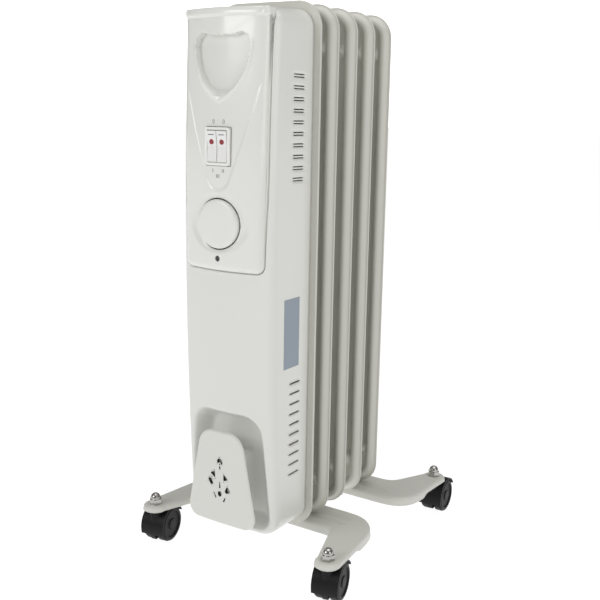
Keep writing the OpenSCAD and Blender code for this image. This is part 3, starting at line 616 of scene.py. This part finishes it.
panel_loop = loop_round(PANEL_CIRCLES, 1.6, panel_levels())
panel_core = spine(panel_loop, PANEL_LOW + 40, PANEL_HIGH - 30)
psi = np.linspace(math.pi / 2, 0, 12)
insets, falls = 7.2 * (1 - np.sin(psi)), 8.0 * (1 - np.cos(psi))
shares = np.linspace(0, 1, 42)[1:]
face = face_rings(panel_loop, panel_core, insets, shares)
near_top = ease((face[..., 1] - PANEL_TOP_ZONE) / 6)
fall_rows = np.r_[falls, np.zeros(len(shares))][:, None]
face_y = panel_face(face[..., 0], face[..., 1]) + fall_rows * (1 - 0.55 * near_top)
back = upright_points(np.repeat(panel_loop[None], 3, 0), np.array([-56.0, -60.0, -64.0])[:, None])
rings = np.concatenate([back, upright_points(face, face_y)])
roof = top_edge(rings[..., 1]) + 1.0
rings[..., 2] = np.where(rings[..., 2] > PANEL_TOP_ZONE, np.minimum(rings[..., 2], roof), rings[..., 2])
build("panel_shell", [rings], "radiator", "panel_plastic", ("control_panel",), sharp=50)

# %% [markdown]
# ## Wells of the dial and the screw
#
# The dial sits in a round well with a thin gap, and one screw sits in a small well below it.
# The face under each is sunk by the depth formula, and a turned wall closes the step.

# %% Wells in the panel
WELL_RADIUS, WELL_FLOOR = 26.5, -74.5
WELL_LIP_ROWS = 3
SCREW_WELL, SCREW_FLOOR = 3.0, -79.0


def round_wall(centre, radius, floor, count=120):
    """A lip on the face, a straight wall to the floor, and a flat floor that closes at its middle."""
    angle = np.linspace(0, 2 * math.pi, count, endpoint=False)
    out = np.array([radius + 2.6, radius + 0.4, radius, radius, radius, 0.0])[:, None]
    x, z = centre[0] + out * np.cos(angle), centre[1] + out * np.sin(angle)
    top = panel_surface(x, z)
    sink = np.array([-0.03, -0.03, 0.4, 0, 0, 0])[:, None]
    y = np.where(sink != 0, top + sink, 0)
    y[3] = 0.5 * (y[2] + floor)
    y[4:] = floor
    return np.stack([x, y, z], -1)


dial_well = round_wall((0, DIAL_HEIGHT), WELL_RADIUS, WELL_FLOOR)
screw_well = round_wall((0, SCREW_HEIGHT), SCREW_WELL, SCREW_FLOOR, 40)
build("panel_wells", [dial_well[:WELL_LIP_ROWS], screw_well], "radiator", "panel_plastic", sharp=45)
build("dial_well", [dial_well[WELL_LIP_ROWS - 1:]], "radiator", "panel_plastic", sharp=45,
      finish="hole_shadow")

# %% [markdown]
# ## Cord hook
#
# The paddle in front of the recess holds turns of the cord, and its face has the blind holes
# that park a plug. The face is one lid. Each hole is a small well with its own rim, laid on
# the face, because a well's rings follow the hole's outline exactly.

# %% Paddle and its holes
HOOK = [(31, 84, 14), (10.5, 156, 20), (-10.5, 156, 20), (-31, 84, 14)]
HOOK_FRONT, HOOK_BACK = -78.5, -74.5
HOLE_DEPTH = 9.0


def hook_face(x, z):
    """Gently crowned front of the paddle."""
    return HOOK_FRONT + 0.0009 * x ** 2


hook_loop = loop_round(HOOK, 1.6)
hook_core = spine(hook_loop, 112, 150)
psi = np.linspace(math.pi / 2, 0, 8)
insets, falls = 2.4 * (1 - np.sin(psi)), 2.4 * (1 - np.cos(psi))
shares = np.linspace(0, 1, 40)[1:]
front = face_rings(hook_loop, hook_core, insets, shares)
front_y = hook_face(front[..., 0], front[..., 1]) + np.r_[falls, np.zeros(len(shares))][:, None]
HOLES = [
    [(0.1, 141.9, 3.7), (0.1, 142.1, 3.7), (-0.1, 142.0, 3.7)],
    [(-0.3, 133.8, 0.7), (0.3, 133.8, 0.7), (0.0, 139.5, 0.8)],
    [(-14.5, 119, 1.6), (-11.5, 115.5, 2.2), (-12, 119, 2.0)],
    [(9.2, 109.5, 2.4), (11.8, 110.5, 2.2), (10.2, 113.0, 1.8)],
    [(-0.2, 104, 2.4), (0.4, 105.8, 2.4), (-0.6, 105.5, 2.3)],
    [(-0.5, 112, 0.6), (0.4, 112, 0.6), (-0.2, 118.4, 0.6)],
    [(-5.6, 99.6, 0.6), (-5.2, 100.2, 0.6), (-8.3, 105.0, 0.6)],
    [(4.9, 97.2, 0.7), (5.4, 97.0, 0.7), (7.3, 101.3, 0.7)],
    [(-7.0, 123.2, 0.7), (-7.2, 129.5, 0.8), (-11.6, 126.8, 0.9)],
    [(9.6, 123.6, 1.0), (5.4, 128.0, 0.6), (5.4, 121.6, 0.6)],
]
sink = np.min([hull_gap(front[..., 0], front[..., 1], h) for h in HOLES], axis=0)
front_y = front_y + HOLE_DEPTH * (sink < 0.35)
rear = face_rings(hook_loop, hook_core, [0, 0.6], shares)
rear_y = np.r_[[-74.9, HOOK_BACK], np.full(len(shares), HOOK_BACK)][:, None] * np.ones(rear.shape[:2])
paddle = np.concatenate([upright_points(rear, rear_y)[::-1], upright_points(front, front_y)])
neck_loop = loop_round([(14, 96, 6), (14, 146, 6), (-14, 146, 6), (-14, 96, 6)], 3)
flare = np.array([3.0, 1.2, 0.3, 0.0, 0.0, 0.0, 0.4, 1.6])
neck_flat = neck_loop[None] + flare[:, None, None] * outward(neck_loop)[None]
neck = upright_points(neck_flat, np.array([-46.5, -47.4, -49.0, -52.0, -60.0, -70.0, -73.0, -74.6])[:, None])


def well(circles, surface, depth=HOLE_DEPTH, rim=1.1, step=0.5):
    """A hole's rings: a rim on the surface, a rounded lip, a wall straight in, then the floor."""
    loop = loop_round(circles, step)
    middle = np.tile(loop.mean(0), (len(loop), 1))
    outset = np.array([rim, 0.25, 0.0, -0.12, -0.15, -0.15])
    sunk = np.array([-0.03, -0.03, 0.05, 0.3, 1.0, depth])
    flat = loop[None] + outset[:, None, None] * outward(loop)[None]
    flat = np.concatenate([flat, middle[None]])
    sunk = np.r_[sunk, depth][:, None]
    return upright_points(flat, surface(flat[..., 0], flat[..., 1]) + sunk)


wells = [well(h, hook_face) for h in HOLES]
RIM_ROWS = 4
build("hook_paddle", [paddle, neck], "radiator", "hook_plastic", ("cord_hook",), sharp=45)
build("hook_rims", [rings[:RIM_ROWS] for rings in wells], "radiator", "hook_plastic", sharp=45, fix=False)
build("hook_wells", [rings[RIM_ROWS - 1:] for rings in wells], "radiator", "hook_plastic", sharp=45,
      fix=False, finish="hole_shadow")

# %% [markdown]
# ## Feet
#
# Each foot is one stamping: a crossbar that turns forward or back into two arms, with its
# edges folded down and two ribs pressed along the bar. Two rails give its inner and outer
# edges. Corners are rounded by sliding an average along each rail, and the sheet is ruled
# from the rails to the line midway between them.

# %% Stamped feet
FOOT_TOP, FOOT_FLANGE = 51.0, 10.0
TIP_FLANGE, SWING = 5.6, 43.0
TIP_RADIUS, FOOT_ROUND, FOOT_SHEET = 14.5, 3.6, 2.0
RIB_DEPTH, RIB_PLACE, RIB_HALF = 2.8, 7.0, 4.2
RAIL_POINTS = 150


def rounded_rail(points, window, step=1.5):
    """A polyline sampled evenly, then averaged over a window of that many millimetres."""
    points = np.array(points, float)
    run = np.r_[0, np.cumsum(np.linalg.norm(np.diff(points, axis=0), axis=1))]
    at = np.arange(0, run[-1] + step / 2, step)
    line = np.c_[np.interp(at, run, points[:, 0]), np.interp(at, run, points[:, 1])]
    half = int(window / step / 2)
    for _ in range(2):
        before, after = 2 * line[:1] - line[half:0:-1], 2 * line[-1:] - line[-2:-half - 2:-1]
        padded = np.concatenate([before, line, after])
        total = np.cumsum(np.r_[np.zeros((1, 2)), padded], axis=0)
        width = 2 * half + 1
        line = (total[width:] - total[:-width]) / width
    return line


def even_points(line, count):
    """The same line with that many evenly spaced points."""
    run = np.r_[0, np.cumsum(np.linalg.norm(np.diff(line, axis=0), axis=1))]
    at = np.linspace(0, run[-1], count)
    return np.c_[np.interp(at, run, line[:, 0]), np.interp(at, run, line[:, 1])]


def foot(name, node, bar_y, way, tip, outer, inner, windows):
    """One foot; way is +1 where the arms point to -Y and -1 where they point to +Y."""
    cx, cy = tip
    outer_half = even_points(rounded_rail(outer, windows[0]), RAIL_POINTS)
    inner_half = even_points(rounded_rail(inner, windows[1]), RAIL_POINTS)
    first = math.atan2(*(outer_half[-1] - (cx, cy))[::-1])
    last = math.atan2(*(inner_half[-1] - (cx, cy))[::-1])
    sweep = -((first - last) % (2 * math.pi)) if way > 0 else (last - first) % (2 * math.pi)
    angle = first + sweep * np.arange(1, 24) / 24
    arc = np.c_[cx + TIP_RADIUS * np.cos(angle), cy + TIP_RADIUS * np.sin(angle)]
    half_loop = np.concatenate([outer_half, arc, inner_half[::-1]])
    middle = 0.5 * (outer_half + inner_half)
    hub = np.tile([[cx, cy]], (len(arc), 1))
    half_core = np.concatenate([middle, hub, middle[::-1]])
    mirror = np.array([-1, 1])
    loop = np.concatenate([half_loop, (half_loop * mirror)[::-1][1:-1]])
    core = np.concatenate([half_core, (half_core * mirror)[::-1][1:-1]])
    if way > 0:
        loop, core = loop[::-1], core[::-1]
    psi = np.linspace(math.pi / 2, 0, 7)
    insets, falls = FOOT_ROUND * (1 - np.sin(psi)), FOOT_ROUND * (1 - np.cos(psi))
    shares = np.linspace(0, 1, 16)[1:]
    flat = face_rings(loop, core, insets, shares)
    top = FOOT_TOP - np.r_[falls, np.zeros(len(shares))][:, None] * np.ones(flat.shape[:2])
    along = ease((96 - np.abs(flat[..., 0])) / 14)
    across = flat[..., 1] - bar_y
    ribs = sum(dome((across - s * RIB_PLACE) / RIB_HALF, 2.0) for s in (-1, 1))
    top = top - RIB_DEPTH * ribs * along
    from_tip = np.hypot(np.abs(loop[:, 0]) - cx, loop[:, 1] - cy)
    fold = TIP_FLANGE + (FOOT_FLANGE - TIP_FLANGE) * ease((from_tip - SWING) / 12)
    skirt = np.stack([FOOT_TOP - fold, FOOT_TOP - np.minimum(fold - 0.6, 7.0)])
    low_ring = loop + 0.5 * outward(loop)
    rows = np.concatenate([low_ring[None], loop[None], flat])
    heights = np.concatenate([skirt, top])
    rings = np.stack([rows[..., 0], rows[..., 1], heights], -1)
    build(name, [rings], "radiator", "foot_paint", (node,), thick=FOOT_SHEET, sharp=50)


foot("foot_front", "front_foot", 40.4, 1, (121.5, -48.6),
     [(0, 65.4), (104, 65.4), (126, 42), (136, -48.6)], [(0, 15.4), (85, 15.4), (107.5, -48.6)], (30, 8))
foot("foot_rear", "rear_foot", 151.6, -1, (116, 222.6),
     [(0, 126.6), (106, 126.6), (124, 140), (127, 165), (130.5, 222.6)],
     [(0, 176.6), (78, 176.6), (101.5, 222.6)], (26, 20))

# %% [markdown]
# ## Dial and switches
#
# The dial is turned about its own axis, so it is a profile carried round a circle: a slightly
# crowned face with a soft edge. It sits in the well made above. The rockers keep their CAD shape.

# %% Dial


def turned(profile, centre, count=128):
    """Profile of (radius, y) carried round a level axis along Y through (x, z)."""
    profile = np.array(profile, float)
    angle = np.linspace(0, 2 * math.pi, count, endpoint=False)
    x = centre[0] + profile[:, :1] * np.cos(angle)
    z = centre[1] + profile[:, :1] * np.sin(angle)
    return np.stack([x, np.repeat(profile[:, 1:], count, 1), z], -1)


dial_profile = [(0, -75.2), (24.3, -75.2), (24.9, -75.6), (25.2, -76.4), (25.3, -80.6), (25.0, -81.7),
                (24.3, -82.5), (23.0, -83.0), (20, -83.25), (14, -83.35), (7, -83.4), (0, -83.4)]
build("dial", [turned(dial_profile, (0, DIAL_HEIGHT))], "dial", "knob_plastic", ("thermostat_knob",),
      sharp=60)

# %% [markdown]
# ## Printed marks and painted gap shade round the switches
#
# A thin dark frame round the switches is painted shade, a strip where the gap round the switch
# bezel lies in shadow. Thin ink shows on and off: a nought above each rocker, bars below and a
# dash on each rocker. Each mark is a closed strip a few hundredths of a millimetre proud of
# the surface, so it exists in the mesh and not only as a colour.

# %% Marks and painted gap shade
MARK_LIFT = 0.06


def strip(outer, inner, surface, lift=MARK_LIFT):
    """A flat ring between two loops with the same number of points, standing a little off a surface."""
    flat = np.stack([outer, outer, inner, inner, outer])
    off = np.array([0.0, lift, lift, 0.0, 0.0])[:, None]
    return upright_points(flat, surface(flat[..., 0], flat[..., 1]) - off)


def bar(x, z, width, height, surface):
    """A printed bar as a strip that closes on its own middle line."""
    half_w, half_h = width / 2, height / 2
    r = min(half_w, half_h) * 0.4
    loop = loop_round([(x + half_w - r, z - half_h + r, r), (x + half_w - r, z + half_h - r, r),
                       (x - half_w + r, z + half_h - r, r), (x - half_w + r, z - half_h + r, r)], 1.0)
    return strip(loop, np.tile(loop.mean(0), (len(loop), 1)), surface)


def nought(x, z, wide, high, line, surface):
    """An upright ellipse drawn with a line of even width."""
    angle = np.linspace(0, 2 * math.pi, 40, endpoint=False)
    ring = lambda cut: np.c_[x + (wide - cut) * np.cos(angle), z + (high - cut) * np.sin(angle)]
    return strip(ring(0), ring(line), surface)


SWITCH_HEIGHT, ROCKER_X = 478.0, 6.4
BAR_WIDTH, BAR_HIGH = 0.55, 3.6
# The frame round the switches is painted shade: a dark strip on the panel where the gap round the switch
# bezel lies in shadow.
frame_out = loop_round(plate_circles(16.1, SWITCH_HEIGHT - 19.6, SWITCH_HEIGHT + 19.6, 1.2), 2.0)
frame_in = frame_out - 0.6 * outward(frame_out)
marks = [strip(frame_out, frame_in, panel_surface)]
marks += [nought(x, SWITCH_HEIGHT + 24.5, 1.3, 2.0, 0.45, panel_surface) for x in (-ROCKER_X, ROCKER_X)]
marks += [bar(x, SWITCH_HEIGHT - 24.0, BAR_WIDTH, BAR_HIGH, panel_surface)
          for x in (-ROCKER_X, ROCKER_X - 0.9, ROCKER_X + 0.9)]
marks += [bar(x, SWITCH_HEIGHT - 29.5, BAR_WIDTH, BAR_HIGH, panel_surface) for x in (-1.6, 0.0, 1.6)]
build("panel_marks_and_gap_shade", marks, "radiator", "panel_plastic", sharp=45, finish="print_and_gap_shade")


def rocker_front(x, z):
    """Sloping upper half of a rocker's face."""
    return -81.6 - 2.1 * (z - SWITCH_HEIGHT) / 15.3 + 0 * x


for side, body in ((-1, "switch_low"), (1, "switch_high")):
    dash = bar(side * ROCKER_X, SWITCH_HEIGHT + 11.6, 7.2, 0.8, rocker_front)
    build("dash_" + body, [dash], body, "rocker_plastic", sharp=45, finish="print_and_gap_shade")

# %% [markdown]
# ## Floor and light
#
# A grey floor that glows white and large soft lamps give an even studio light without a horizon.
# The key lamp is in front on the left, a weaker one on the right lights the side, and one above
# lights the tops. The surroundings look white to the camera but light the heater less.

# %% Stage
scene = bpy.context.scene
floor_mesh = bpy.data.meshes.new("floor")
floor_mesh.from_pydata([(-30, -30, 0), (30, -30, 0), (30, 30, 0), (-30, 30, 0)], [], [(0, 1, 2, 3)])
floor = bpy.data.objects.new("floor", floor_mesh)
scene.collection.objects.link(floor)
paper = Look("paper")
grey = paper.mix(paper.noise(3), (0.19, 0.19, 0.19, 1), (0.21, 0.21, 0.21, 1))
floor_mesh.materials.append(paper.finish(
    Base_Color=grey, Roughness=1.0, Specular_IOR_Level=0.0, Emission_Color=(1, 1, 1, 1),
    Emission_Strength=0.95))

SKY_LIGHT, SKY_SEEN = 0.26, 1.6
world = bpy.data.worlds.new("studio")
scene.world = world
world.use_nodes = True
sky = world.node_tree
soft = sky.nodes["Background"]
soft.inputs[0].default_value, soft.inputs[1].default_value = (1.0, 0.99, 0.97, 1), SKY_LIGHT
bright = sky.nodes.new("ShaderNodeBackground")
bright.inputs[0].default_value, bright.inputs[1].default_value = (1.0, 1.0, 1.0, 1), SKY_SEEN
path, choose = sky.nodes.new("ShaderNodeLightPath"), sky.nodes.new("ShaderNodeMixShader")
sky.links.new(path.outputs["Is Camera Ray"], choose.inputs[0])
sky.links.new(soft.outputs[0], choose.inputs[1])
sky.links.new(bright.outputs[0], choose.inputs[2])
sky.links.new(choose.outputs[0], sky.nodes["World Output"].inputs["Surface"])


def lamp(name, at, aim, size, power, colour=(1, 1, 1)):
    """A square area lamp at a point, facing another."""
    light = bpy.data.lights.new(name, "AREA")
    light.shape, light.size, light.energy, light.color = "SQUARE", size, power, colour
    item = bpy.data.objects.new(name, light)
    scene.collection.objects.link(item)
    item.location = at
    item.rotation_euler = (Vector(at) - Vector(aim)).to_track_quat("Z", "Y").to_euler()


lamp("key", (-0.9, -2.4, 1.5), (0, 0, 0.35), 1.3, 19)
lamp("side", (2.4, -0.7, 1.0), (0, 0, 0.3), 1.4, 9, (1.0, 0.985, 0.96))
lamp("top", (0.3, 0.1, 2.6), (0.1, 0, 0), 2.4, 30)
scene.view_settings.view_transform = "Standard"
print("stage set")
